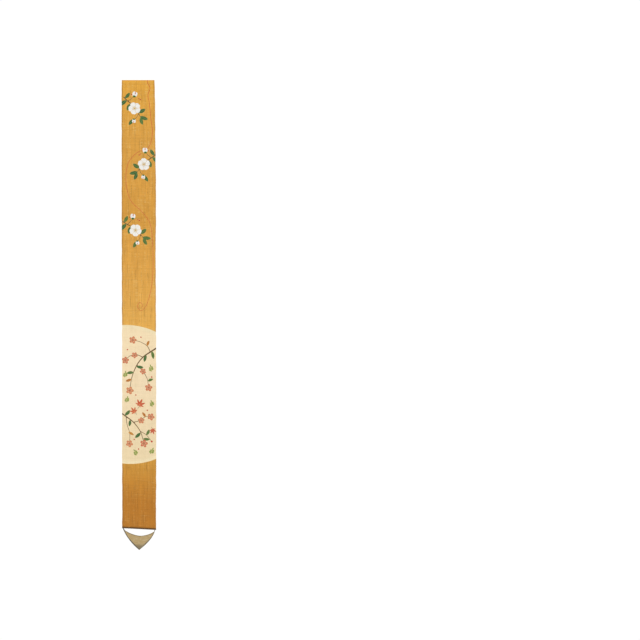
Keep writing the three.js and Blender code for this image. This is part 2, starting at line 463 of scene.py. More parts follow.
def sprig(dye, across, drop, heading, size):
    """A thin stem with a narrow leaf at its end and three pairs below."""
    put = placed(across, drop, heading, size)
    dye.line("stem", [put(0, 0), put(0.05, 0.35), put(0.03, 0.8)], 0.5, 0.35)
    chosen, x, y = dye.near(*put(0.03, 0.66), heading, size)
    dye.lay("sprig", chosen, pointed(x, y, 0.42 * size, 0.16 * size))
    for foot, length in ((0.12, 0.46), (0.34, 0.42), (0.54, 0.35)):
        for side in (-1, 1):
            chosen, x, y = dye.near(*put(0.04, foot + 0.05 * side), heading + 54 * side, size)
            dye.lay("sprig", chosen, pointed(x, y, length * size, 0.38 * length * size))


def maple_leaf(dye, across, drop, heading, size):
    """A leaf of seven pointed lobes on a short stalk."""
    put = placed(across, drop, heading, size)
    middle_across, middle_drop = put(0, STALK_MIDDLE)
    stalk = [put(0, 0), (middle_across + STALK_BEND, middle_drop), put(0, STALK_END)]
    dye.line("twig", stalk, 0.5, 0.4)
    chosen, x, y = dye.near(across, drop, heading, size)
    dye.lay("red_leaf", chosen, np.hypot(x, y) - 0.1 * size)
    for turn, reach in MAPLE_LOBES:
        dye.leaf("red_leaf", across, drop, heading + turn, reach * size, 0.3 * reach * size)


def moon_and_branches(dye):
    gap = np.hypot(dye.across - MOON_ACROSS, dye.drop - MOON_DROP) - MOON_RADIUS
    dye.layers["moon"] = np.clip(gap, -60, 60)
    for points, thick, thin in BRANCHES:
        dye.line("twig", points, thick, thin)
    for number, row in enumerate(BRANCH_LEAVES):
        dye.leaf(*row, bow=0.14 if number % 2 else -0.14)
    for row in SPRIGS:
        sprig(dye, *row)
    for row in MAPLES:
        maple_leaf(dye, *row)
    for row in SMALL_FLOWERS:
        dye.blossom("small_flower", *row)
    for row in BUDS_AND_BERRIES:
        dye.dot("red", *row)


def dye_piece(obj, across, drop, slub=None):
    """Stores the pattern's distances and the cloth's own coordinates on a piece of cloth or
    yarn, and lays it out flat."""
    dye = Dye(across, drop)
    moon_and_branches(dye)
    dye.line("vine", VINE, *VINE_HALF_WIDTHS, VINE_STEPS)
    for row in SPRAYS:
        spray(dye, *row)
    left = dye.across - side_edge(abs(dye.drop), 0)
    right = side_edge(abs(dye.drop), 1) - dye.across
    values = {"across_mm": dye.across, "drop_mm": dye.drop, "edge_mm": np.minimum(left, right)}
    values.update(dye.places)
    values.update({"dye_" + name: distances for name, distances in dye.layers.items()})
    for name, kept in dye.lines.items():
        values.update({name + "_" + key: data for key, data in kept.items()})
    if slub is not None:
        values["slub_tone"] = slub
    store(obj, values)
    lay_uv(obj, across, drop)


# Making meshes

def new_piece(name, vertices, faces, smooth_shading=True):
    mesh = bpy.data.meshes.new(name)
    mesh.from_pydata([tuple(v) for v in np.asarray(vertices).tolist()], [], faces)
    mesh.validate(verbose=False)
    mesh.update()
    if smooth_shading:
        mesh.polygons.foreach_set("use_smooth", [True] * len(mesh.polygons))
    obj = bpy.data.objects.new(name, mesh)
    bpy.context.scene.collection.objects.link(obj)
    return obj


def store(obj, values):
    """Keeps named numbers at each of a piece's points, for its material to read."""
    for name, data in values.items():
        attribute = obj.data.attributes.new(name, "FLOAT", "POINT")
        attribute.data.foreach_set("value", np.ascontiguousarray(data, dtype=np.float32))


UV_COLUMNS = 4
UV_COLUMN_WIDTH = 106.0
UV_MARGIN = 3.0
UV_SPARE_END = 2.0
CLOTH_PATH = STRIP_DROP + HEM_DEPTH + 2 * UV_SPARE_END


def lay_uv(obj, across, drop):
    """Lays the long strip of cloth out flat in a few columns side by side."""
    across = np.asarray(across, float)
    drop = np.asarray(drop, float)
    mesh = obj.data
    layer = mesh.uv_layers.new(name="OFBake")
    corners = np.zeros(len(mesh.loops), dtype=np.int64)
    mesh.loops.foreach_get("vertex_index", corners)
    sizes = np.zeros(len(mesh.polygons), dtype=np.int64)
    mesh.polygons.foreach_get("loop_total", sizes)
    face_of = np.repeat(np.arange(len(sizes)), sizes)
    along = drop[corners] + HEM_DEPTH + UV_SPARE_END
    middle = np.bincount(face_of, weights=along) / sizes
    column_length = CLOTH_PATH / UV_COLUMNS
    column = np.clip(np.floor(middle / column_length), 0, UV_COLUMNS - 1)[face_of]
    scale = UV_COLUMNS * UV_COLUMN_WIDTH
    u = (column * UV_COLUMN_WIDTH + UV_COLUMN_WIDTH / 2 + across[corners]) / scale
    v = (along - column * column_length + UV_MARGIN) / scale
    layer.data.foreach_set("uv", np.stack([u, v], axis=1).ravel().astype(np.float32))


def grid_faces(rows, columns):
    faces = []
    for r in range(rows - 1):
        for c in range(columns - 1):
            at = r * columns + c
            faces.append((at, at + 1, at + columns + 1, at + columns))
    return faces


def ring_faces(rings, sides, start=0, turned_over=False):
    """Faces between closed rings of points, and last the two flat ends."""
    faces = []
    for r in range(rings - 1):
        for k in range(sides):
            a = start + r * sides + k
            b = start + r * sides + (k + 1) % sides
            faces.append((a, b, b + sides, a + sides))
    last = start + (rings - 1) * sides
    ends = [tuple(range(start + sides - 1, start - 1, -1)), tuple(range(last, last + sides))]
    if turned_over:
        faces = [(a, d, c, b) for a, b, c, d in faces]
        ends = [end[::-1] for end in ends]
    return faces + ends


def flat_ends(obj):
    """Turns smooth shading off on the last two faces, which are the ends."""
    for polygon in list(obj.data.polygons)[-2:]:
        polygon.use_smooth = False


def tubes(name, paths, sides, dyed=True, tones=None):
    """Joined tapering tubes. Each path is (points in metres, radii, across, drop)."""
    vertices, faces, across, drop = [], [], [], []
    start = 0
    for points, radii, place_across, place_drop in paths:
        ahead = np.gradient(points, axis=0)
        ahead /= np.linalg.norm(ahead, axis=1, keepdims=True)
        side = np.cross(ahead, (0.0, 1.0, 0.0))
        side /= np.maximum(np.linalg.norm(side, axis=1, keepdims=True), 1e-9)
        up = np.cross(side, ahead)
        ring = []
        for k in range(sides):
            angle = TAU * k / sides
            ring.append(points + radii[:, None] * (math.cos(angle) * side + math.sin(angle) * up))
        vertices.append(np.stack(ring, axis=1).reshape(-1, 3))
        across.append(np.repeat(place_across, sides))
        drop.append(np.repeat(place_drop, sides))
        faces += ring_faces(len(points), sides, start)
        start += len(points) * sides
    obj = new_piece(name, np.concatenate(vertices), faces)
    if dyed:
        dye_piece(obj, np.concatenate(across), np.concatenate(drop), tones)
    return obj


# The cloth

CLOTH_STEP = 1.25
CLOTH_COLUMNS = 82
HEM_PRESSED = 0.55
FOLD_STEPS = 9
FOLD_TOP_GAP = 0.2
FOLD_PATH_SHARE = 0.9
FRAY_REACH = 2.5


def cloth_rows():
    """(drop along the cloth, y, z or None for the face, inset of the side edges)."""
    rows = []
    hem = HEM_DEPTH - FOLD_CENTRE
    hem_steps = round(hem / CLOTH_STEP)
    hem_y = FACE_Y + HEM_PRESSED
    for k in range(hem_steps + 1):
        t = k / hem_steps
        z = -HEM_DEPTH + hem * t
        rows.append((z - FOLD_CENTRE, hem_y + (FOLD_RADIUS - hem_y) * smooth(t), z, HEM_INSET))
    for k in range(1, FOLD_STEPS):
        angle = math.pi * k / FOLD_STEPS
        drop = -FOLD_CENTRE * math.cos(angle) * FOLD_PATH_SHARE
        y = FOLD_RADIUS * math.cos(angle)
        z = -FOLD_CENTRE + (FOLD_CENTRE - FOLD_TOP_GAP) * math.sin(angle)
        rows.append((drop, y, z, HEM_INSET * (1 - k / FOLD_STEPS)))
    face = STRIP_DROP - FOLD_CENTRE
    face_steps = round(face / CLOTH_STEP)
    for k in range(face_steps + 1):
        rows.append((FOLD_CENTRE + face * k / face_steps, None, None, 0.0))
    return rows


def fray(drop, side):
    """Unevenness of a woven edge, a few tenths of a millimetre."""
    slow = 0.22 * value_noise(drop / 7.3, 0.5, 20 + side)
    fast = 0.14 * value_noise(drop / 2.1, 0.5, 30 + side)
    return slow + fast


def make_cloth():
    rows = cloth_rows()
    share = np.linspace(0, 1, CLOTH_COLUMNS)
    points, across, drops = [], [], []
    for drop, y, z, inset in rows:
        edge_drop = abs(drop)
        left = side_edge(edge_drop, 0) + inset
        right = side_edge(edge_drop, 1) - inset
        x = left + (right - left) * share
        left_rim = np.exp(-(x - left) / FRAY_REACH) * fray(drop, 0)
        right_rim = np.exp(-(right - x) / FRAY_REACH) * fray(drop, 1)
        x = x + (left_rim + right_rim)
        if z is None:
            points.append(face_point(x, drop))
        else:
            lift = cockle(x, edge_drop) * 0.6
            points.append(np.stack(np.broadcast_arrays(x, y + lift, z), axis=-1) * MM)
        across.append(x)
        drops.append(np.full(CLOTH_COLUMNS, drop))
    faces = grid_faces(len(rows), CLOTH_COLUMNS)
    cloth = new_piece("woven_cloth", np.concatenate(points), faces)
    dye_piece(cloth, np.concatenate(across), np.concatenate(drops))
    return cloth


EDGE_STEP = 0.45
EDGE_END = 3.0
LOOP_PITCH = 2.05
KNOTS_PER_SIDE = 9
KNOT_RADIUS = 0.48
KNOT_ALONG = np.linspace(-0.7, 0.7, 7)
KNOT_SWELL = np.sqrt(np.maximum(1 - (KNOT_ALONG / 0.75) ** 2, 0.02))


def make_edge_threads():
    """The weft's turns along both side edges, with a few small knots."""
    paths = []
    drops = np.arange(FOLD_CENTRE, STRIP_DROP - EDGE_END, EDGE_STEP)
    for side, out in ((0, -1), (1, 1)):
        beat = LOOP_PITCH * (1 + 0.12 * value_noise(drops / 40, 0.5, 40 + side))
        turn = np.abs(np.sin(math.pi * np.cumsum(EDGE_STEP / beat)))
        proud = 0.02 + 0.3 * turn * (0.65 + 0.5 * value_noise(drops / 3.1, 0.5, 50 + side))
        x = side_edge(drops, side) + fray(drops, side) + out * proud
        radii = MM * (0.2 + 0.05 * value_noise(drops / 5, 0.5, 60 + side))
        paths.append((face_point(x, drops), radii, x, drops))
        for k in range(KNOTS_PER_SIDE):
            where = STRIP_DROP * (k + 0.3 + 0.5 * lattice(k, side, 70)) / KNOTS_PER_SIDE
            spot = where + KNOT_ALONG
            x = side_edge(spot, side) + out * (0.35 + 0.25 * lattice(k, side, 71))
            paths.append((face_point(x, spot), MM * KNOT_RADIUS * KNOT_SWELL, x, spot))
    return tubes("edge_threads", paths, 5)


WARP_SLUBS = 70
WEFT_SLUBS = 150
WARP_SLUB_RADIUS = 0.24
WEFT_SLUB_RADIUS = 0.22
SLUB_END_RADIUS = 0.04
SLUB_SIDES = 6
# Among the slubs, this share is darker than the cloth. The rest are paler.
DARK_WARPS = 0.6
DARK_WEFTS = 0.4
PALE_WARP_TONE = -0.15


def make_slubs():
    """Thick uneven stretches of yarn that stand a little proud of the weave."""
    draw = np.random.default_rng(11)
    paths, tones = [], []

    def add(x, drops, t, unevenness, radius):
        swell = np.sin(math.pi * t) ** 0.4 * unevenness
        radii = MM * np.maximum(radius * swell, SLUB_END_RADIUS)
        paths.append((face_point(x, drops), radii, x, drops))

    for _ in range(WARP_SLUBS):
        x0 = draw.uniform(-46, 44)
        start = draw.uniform(20, 1240)
        length = draw.uniform(18, 120)
        end = min(start + length, STRIP_DROP - 12)
        drops = np.linspace(start, end, max(8, int((end - start) / 2.0)))
        x = x0 + 0.25 * value_noise(drops / 9, x0, 80)
        uneven = 0.75 + 0.3 * value_noise(drops / 6, x0, 81)
        add(x, drops, (drops - start) / (end - start), uneven, WARP_SLUB_RADIUS)
        dark = draw.random() < DARK_WARPS
        tone = draw.uniform(0.1, 0.75) if dark else PALE_WARP_TONE
        tones.append(np.full(len(drops) * SLUB_SIDES, tone))
    for _ in range(WEFT_SLUBS):
        drop0 = draw.uniform(14, 1305)
        length = draw.uniform(6, 34)
        centre = draw.uniform(-40, 40)
        low = max(centre - length / 2, -47)
        high = min(centre + length / 2, 45)
        x = np.linspace(low, high, max(7, int((high - low) / 1.6)))
        drops = drop0 + 0.2 * value_noise(x / 7, drop0, 82)
        uneven = 0.8 + 0.3 * value_noise(x / 5, drop0, 83)
        add(x, drops, (x - low) / (high - low), uneven, WEFT_SLUB_RADIUS)
        dark = draw.random() < DARK_WEFTS
        tone = draw.uniform(0.1, 0.7) if dark else -draw.uniform(0.0, 0.5)
        tones.append(np.full(len(drops) * SLUB_SIDES, tone))
    return tubes("slub_yarns", paths, SLUB_SIDES, tones=np.concatenate(tones))


STITCH_DROP = 12.6
STITCH_LENGTH = 2.6
STITCH_PITCH = 3.7
STITCH_POINTS = 7
STITCH_MARGIN = 1.6


def make_stitches():
    """A row of small running stitches that holds the turned hem."""
    paths = []
    left = side_edge(STITCH_DROP, 0) + STITCH_MARGIN
    right = side_edge(STITCH_DROP, 1) - STITCH_MARGIN
    bulge = np.sin(np.linspace(0, math.pi, STITCH_POINTS)) ** 0.5
    radii = MM * (0.06 + 0.13 * bulge)
    for k in range(int((right - left) / STITCH_PITCH)):
        x = left + STITCH_PITCH * k + np.linspace(0, STITCH_LENGTH, STITCH_POINTS)
        drops = STITCH_DROP + 0.25 * value_noise(x / 6, 0.3, 90)
        front = face_point(x, drops)
        front[:, 1] -= MM * 0.16 * bulge
        back = face_point(x + 0.5 * STITCH_PITCH, drops)
        back[:, 1] += MM * (HEM_PRESSED + 0.3 + 0.14 * bulge)
        paths += [(front, radii, x, drops), (back, radii, x, drops)]
    return tubes("hem_stitches", paths, 6, dyed=False)


# Strip and weight

def rounded(corners, steps):
    """A closed outline with each corner (x, y, radius) turned into an arc."""
    outline = []
    count = len(corners)
    for k, (x, y, radius) in enumerate(corners):
        here = np.array([x, y])
        before = np.array(corners[k - 1][:2]) - here
        after = np.array(corners[(k + 1) % count][:2]) - here
        before /= np.linalg.norm(before)
        after /= np.linalg.norm(after)
        outline += list(bent(here + before * radius, here, here + after * radius, steps + 1))
    return np.array(outline)


def bent(start, handle, end, count):
    """Points along a curve that leaves start and reaches end in line with the handle."""
    t = np.linspace(0, 1, count)[:, None]
    a, b, c = np.array(start), np.array(handle), np.array(end)
    return (1 - t) ** 2 * a + 2 * t * (1 - t) * b + t * t * c


STRIP_STATIONS = 90
STRIP_END_ROUND = 0.7
STRIP_END_EASE = (0.0, 0.25, 0.55, 0.8, 1.0)
STRIP_UNEVEN = 0.012


def make_strip():
    """The grooved wooden strip, a little uneven as if planed by hand, with eased ends."""
    w, h = STRIP_DEPTH / 2, STRIP_HEIGHT / 2
    slot = CLOTH_SOLID / 2 + GAP
    floor = h - GROOVE_DEPTH
    section = rounded([
        (-w, h, 0.35), (-w, -h, 0.9), (w, -h, 0.9), (w, h, 0.35),
        (slot, h, 0.15), (slot, floor, 0.2), (-slot, floor, 0.2), (-slot, h, 0.15),
    ], 4)
    depth, height = section[:, 0], section[:, 1]
    outer = np.maximum(np.hypot(depth / w, height / h), 0.6)
    half = STRIP_LENGTH / 2
    inner = half - STRIP_END_ROUND
    stations = []
    for ease in STRIP_END_EASE:
        angle = math.pi / 2 * ease
        along = -half + STRIP_END_ROUND * (1 - math.cos(angle))
        stations.append((along, STRIP_END_ROUND * 0.5 * (1 - math.sin(angle))))
    far_end = [(-along, inset) for along, inset in reversed(stations)]
    stations += [(along, 0.0) for along in np.linspace(-inner, inner, STRIP_STATIONS)[1:-1]]
    stations += far_end
    c, s = math.cos(STRIP_TILT), math.sin(STRIP_TILT)
    vertices = []
    for along, inset in stations:
        uneven = 1 + STRIP_UNEVEN * value_noise(along / 9 + depth, height, 100)
        scale = (1 - inset / (w * outer)) * uneven
        y, z = depth * scale, height * scale
        x = STRIP_SHIFT + c * along + s * z
        vertices.append(np.stack([x, FACE_Y + y, -STRIP_DROP - s * along + c * z], axis=1))
    faces = ring_faces(len(stations), len(section))
    strip = new_piece("lower_strip", np.concatenate(vertices) * MM, faces)
    flat_ends(strip)
    return strip


INNER_EDGE = [
    # across, drop
    (-40.8, 1336.4), (-36.2, 1339.0), (-27.0, 1344.0), (-12.0, 1349.3), (4.5, 1352.2),
    (20.0, 1350.2), (34.0, 1345.8), (41.4, 1341.6), (44.9, 1339.6),
]
LEFT_HORN = (-48.0, -44.6)
RIGHT_HORN = (48.0, 45.9)
TIP = (0.8, -1394.5)
LEFT_BEND = (-34.0, -1365.4)
RIGHT_BEND = (43.0, -1362.2)
BEND_POINTS = 80
HORN_THICKNESS = 3.0
BELLY_THICKNESS = 5.0
BELLY_SPREAD = 0.6
WEIGHT_STATIONS = 151
WEIGHT_ROUND = 1.5
CORNER_POINTS = 5
FACE_POINTS = 12


def horn_end(across):
    below = (STRIP_HEIGHT / 2 + GAP) / math.cos(STRIP_TILT)
    return (across, strip_z(across) - below)


def even(points, count):
    """The same curve with its points evenly spaced along it."""
    points = np.array(points, float)
    steps = np.linalg.norm(np.diff(points, axis=0), axis=1)
    lengths = np.concatenate([[0.0], np.cumsum(steps)])
    wanted = np.linspace(0, lengths[-1], count)
    return np.stack([np.interp(wanted, lengths, points[:, k]) for k in (0, 1)], axis=1)


def quarter(across, depth, radius, turns):
    """A quarter circle round a middle, from so many quarter turns on."""
    angles = math.pi / 2 * (turns + np.linspace(0, 1, CORNER_POINTS))
    return [(across + radius * math.cos(a), depth + radius * math.sin(a)) for a in angles]


def weight_section(width, half):
    """A closed loop (from the inner edge, depth) round the weight, with round corners."""
    turn = min(WEIGHT_ROUND, 0.42 * width)
    flat = np.linspace(turn, width - turn, FACE_POINTS)[1:-1]
    loop = [(at, -half) for at in flat]
    loop += quarter(width - turn, turn - half, turn, -1)
    loop += quarter(width - turn, half - turn, turn, 0)
    loop += [(at, half) for at in flat[::-1]]
    loop += quarter(turn, half - turn, turn, 1)
    loop += quarter(turn, turn - half, turn, 2)
    return loop


def make_weight():
    """The pointed crescent, with softly rounded edges and horns that taper to the strip."""
    inner_points = [(across, -drop) for across, drop in INNER_EDGE]
    inner_points = [horn_end(LEFT_HORN[1])] + inner_points + [horn_end(RIGHT_HORN[1])]
    inner = even(bend_through(inner_points, 12), WEIGHT_STATIONS)
    left, right = (
        even(bent(horn_end(horn[0]), handle, TIP, BEND_POINTS), WEIGHT_STATIONS // 2 + 1)
        for horn, handle in ((LEFT_HORN, LEFT_BEND), (RIGHT_HORN, RIGHT_BEND))
    )
    outer = np.concatenate([left, right[::-1][1:]])
    vertices, from_inner, from_outer = [], [], []
    for k, (start, end) in enumerate(zip(inner, outer)):
        width = np.linalg.norm(end - start)
        along = (end - start) / width
        belly = math.sin(math.pi * k / (WEIGHT_STATIONS - 1)) ** BELLY_SPREAD
        half = (HORN_THICKNESS + (BELLY_THICKNESS - HORN_THICKNESS) * belly) / 2
        loop = weight_section(width, half)
        for at, y in loop:
            x, z = start + along * at
            dent = 0.02 * float(value_noise(x / 6, z / 5 + 0.3 * y, 110))
            vertices.append((x, FACE_Y + y * (1 + dent), z))
            from_inner.append(at)
            from_outer.append(width - at)
    faces = ring_faces(WEIGHT_STATIONS, len(loop), turned_over=True)
    weight = new_piece("crescent_weight", np.array(vertices) * MM, faces)
    flat_ends(weight)
    store(weight, {"inner_mm": from_inner, "outer_mm": from_outer})
    return weight


# Materials

def linear(r, g, b):
    """A colour as seen, 0 to 255, in the linear values that shaders take."""
    def one(value):
        s = value / 255
        return s / 12.92 if s <= 0.04045 else ((s + 0.055) / 1.055) ** 2.4
    return (one(r), one(g), one(b), 1.0)


def math_step(operation, swapped=False):
    """A method that puts its value, and at most one other number, through a math node."""
    def step(value, *other):
        numbers = (*other, value) if swapped else (value, *other)
        return value.recipe.number("Math", numbers, operation=operation)
    return step


class Value:
    """A number that varies over a surface. Arithmetic on it adds math nodes."""

    def __init__(self, recipe, socket):
        self.recipe = recipe
        self.socket = socket

    __add__ = math_step("ADD")
    __sub__ = math_step("SUBTRACT")
    __rsub__ = math_step("SUBTRACT", swapped=True)
    __mul__ = math_step("MULTIPLY")
    __truediv__ = math_step("DIVIDE")
    __pow__ = math_step("POWER")
    __mod__ = math_step("FLOORED_MODULO")
    __abs__ = math_step("ABSOLUTE")
    floor = math_step("FLOOR")
    fraction = math_step("FRACT")
    sine = math_step("SINE")
    cosine = math_step("COSINE")


larger = math_step("MAXIMUM")
smaller = math_step("MINIMUM")
angle_of = math_step("ARCTAN2")


def diagonal(x, y):
    return (x * x + y * y) ** 0.5


class Recipe:
    """A material's node tree, with short calls for the nodes that it uses."""

    def __init__(self, name, roughness, specular):
        self.material = bpy.data.materials.new(name)
        self.material.use_nodes = True
        self.tree = self.material.node_tree
        self.shader = self.tree.nodes["Principled BSDF"]
        self.shader.inputs["Roughness"].default_value = roughness
        self.shader.inputs["Specular IOR Level"].default_value = specular

    def feed(self, socket, value):
        if isinstance(value, Value):
            value = value.socket
        if isinstance(value, bpy.types.NodeSocket):
            self.tree.links.new(value, socket)
        else:
            socket.default_value = value

    def node(self, kind, inputs=(), **settings):
        """A new node. The inputs are a dict by name or number, or else the first ones in order."""
        node = self.tree.nodes.new("ShaderNode" + kind)
        for key, value in settings.items():
            setattr(node, key, value)
        if not isinstance(inputs, dict):
            inputs = dict(enumerate(inputs))
        for key, value in inputs.items():
            self.feed(node.inputs[key], value)
        return node

    def number(self, kind, inputs=(), output=0, **settings):
        return Value(self, self.node(kind, inputs, **settings).outputs[output])

    def attribute(self, name):
        return self.number("Attribute", output="Fac", attribute_name=name)

    def place(self, x, y, z=0.0):
        return self.node("CombineXYZ", (x, y, z)).outputs[0]

    def object_place(self):
        return self.node("TexCoord").outputs["Object"]

    def noise(self, vector, scale=1.0, detail=2.0):
        inputs = {"Vector": vector, "Scale": scale, "Detail": detail}
        return self.number("TexNoise", inputs, "Fac")

    def patches(self, x, y, seed=0.0, detail=2.0):
        """Noise over x and y, which come multiplied by how many patches there are to a unit."""
        return self.noise(self.place(x, y, seed), 1.0, detail)

    def speckle(self, x, y):
        vector = {"Vector": self.place(x, y)}
        return self.number("TexWhiteNoise", vector, "Value", noise_dimensions="2D")

    def ramp(self, factor, stops):
        """Colours, as seen, at positions from 0 to 1."""
        node = self.node("ValToRGB", (factor,))
        elements = node.color_ramp.elements
        while len(elements) < len(stops):
            elements.new(0.5)
        for element, (position, colour) in zip(elements, stops):
            element.position = position
            element.color = linear(*colour)
        return node.outputs["Color"]

    def fade(self, value, start, end, low=0.0, high=1.0):
        """A smooth step of value between start and end, from low to high."""
        inputs = {"Value": value, "From Min": start, "From Max": end, "To Min": low, "To Max": high}
        return self.number("MapRange", inputs, "Result", interpolation_type="SMOOTHSTEP")

    def mix(self, factor, first, second, blend="MIX"):
        """One colour turning into another. The second may be (r, g, b) as seen."""
        second = linear(*second) if isinstance(second, tuple) else second
        inputs = {0: factor, 6: first, 7: second}
        return self.node("Mix", inputs, data_type="RGBA", blend_type=blend).outputs[2]

    def shaded(self, colour, shade):
        return self.mix(1.0, colour, self.place(shade, shade, shade), "MULTIPLY")

    def finish(self, colour, height, depth, strength):
        """Sets the surface's colour, and its relief, whose depth is in metres."""
        bump = self.node("Bump", {"Height": height, "Distance": depth, "Strength": strength})
        self.feed(self.shader.inputs["Normal"], bump.outputs["Normal"])
        self.feed(self.shader.inputs["Base Color"], colour)
        return self.material


WARP_PITCH = 0.95
WEFT_PITCH = 1.02
WARP_SWAY = 1.1
WEFT_SAG = 1.6

# Colours as seen, 0 to 255
# The ground grows darker towards the bottom.
GROUND_STOPS = [
    # share of the drop, colour
    (0.0, (238, 174, 67)), (0.14, (229, 167, 72)), (0.3, (225, 162, 67)),
    (0.42, (232, 169, 75)), (0.54, (237, 178, 84)), (0.84, (220, 161, 66)),
    (0.9, (204, 138, 49)), (0.94, (194, 126, 42)), (1.0, (191, 124, 43)),
]
MOON_STOPS = [(0.54, (255, 231, 188)), (0.66, (252, 228, 188)), (0.85, (245, 222, 178))]
MOON_RIM, MOON_STAIN, MOON_GAP_SHADE = (251, 233, 190), (234, 211, 168), (206, 176, 126)
# The dark yarn colour is also used to paint shade into the gaps between the yarns.
DARK_YARN_AND_SHADE, DARK_SLUB = (136, 92, 32), (112, 74, 26)
PALE_AND_BACKLIT_YARN, BACKLIT_GAPS, PALE_SLUB = (247, 205, 122), (250, 230, 190), (240, 198, 124)
SELVEDGE = (196, 154, 88)
MOON_HALO, DYE_HALO = (240, 206, 136), (240, 206, 140)
WHITE_GAP_SHADE, WHITE_MIDDLE, GOLD_STAMENS = (168, 162, 152), (236, 224, 196), (208, 160, 36)
SMALL_MIDDLE, SMALL_RIM, DARK_STAMENS = (248, 206, 160), (186, 92, 58), (156, 66, 44)
DYES = [
    # layer, colour, a second colour that some of its leaves or flowers lean to
    ("stem", (128, 146, 64), None),
    ("twig", (98, 68, 38), None),
    ("vine", (208, 74, 26), None),
    ("gold_leaf", (200, 132, 48), (184, 104, 36)),
    ("leaf", (52, 98, 52), (88, 118, 54)),
    ("red_leaf", (198, 66, 50), (206, 92, 48)),
    ("sprig", (138, 158, 70), None),
    ("small_flower", (224, 142, 94), (216, 118, 88)),
    ("bud", (249, 246, 239), None),
    ("open_flower", (251, 248, 241), None),
    ("red", (196, 54, 42), None),
    ("cup", (74, 112, 48), None),
]
RIBS = {"gold_leaf": (232, 186, 112), "leaf": (144, 164, 100), "red_leaf": (230, 144, 102)}
RIB_HALF = 0.26
VEIN_PITCH, VEIN_HALF, VEIN_SLANT = 2.7, 0.14, 0.9
# Petals: half width, half length and middle as shares of the blossom's radius, then that
# radius in millimetres and the twist
WHITE_PETALS = (0.47, 0.44, 0.55, WHITE_SIZE, 0.05)
SMALL_PETALS = (0.325, 0.41, 0.57, SMALL_SIZE, 0.0)
NOTCH_DEPTH, NOTCH_ACROSS, NOTCH_UP = 0.04, 0.11, 0.09
# Stamens: their count, length, half thickness and the radius of their heads, in millimetres
WHITE_STAMENS = (13, 4.8, 0.13, 0.72)
SMALL_STAMENS = (10, 4.2, 0.1, 0.42)
# In millimetres: the radii of round hearts, how far from a blossom's middle the lines between
# its petals start, and half the width of a line
WHITE_HEART, SMALL_HEART, GOLD_HEART, DARK_HEART = 6.0, 2.2, 1.9, 1.1
SEAM_START, SEAM_HALF = 5.0, 0.3


def weave(m, across, drop):
    """Plain weave of yarns that wander and vary in thickness.

    Gives the numbers of the warp and weft at each place, 1 where the weft is on top, the
    tone of the yarns, their round height with fibres in it, and the gaps between them.
    """
    sway = m.patches(across * 0.07, drop * 0.02, detail=1.0)
    sag = m.patches(across * 0.022, drop * 0.11, 7.0, detail=1.0)
    u = (sway * WARP_SWAY + across) / WARP_PITCH
    v = (sag * WEFT_SAG + drop) / WEFT_PITCH
    warp, weft = u.floor(), v.floor()
    weft_on_top = (warp + weft) % 2.0
    warp_tone = m.speckle(warp, 3.0) * 0.35 + m.patches(warp * 3.17, drop * 0.03) * 0.75
    weft_tone = m.speckle(weft, 9.0) * 0.3 + m.patches(across * 0.05, weft * 2.71, 5.0) * 0.8
    tone = (weft_tone - warp_tone) * (weft_on_top * 0.6 + 0.25) + warp_tone

    def hump(place, thickness):
        from_middle = abs(place.fraction() * 2.0 - 1.0)
        round_side = 1.0 - (from_middle / (thickness * 0.5 + 0.72)) ** 2.2
        return larger(round_side, 0.0)

    warp_round, weft_round = hump(u, warp_tone), hump(v, weft_tone)
    upper = (weft_round - warp_round) * weft_on_top + warp_round
    lower = warp_round + weft_round - upper
    along = (across - drop) * weft_on_top + drop
    fibre = m.patches((across + drop - along) * 6.5, along * 0.8)
    return SimpleNamespace(
        warp=warp,
        weft=weft,
        weft_on_top=weft_on_top,
        tone=tone,
        height=upper * (lower * 0.5 + 0.35) + fibre * 0.3,
        gaps=m.fade(warp_round, 0.5, 0.1) * m.fade(weft_round, 0.5, 0.1),
    )


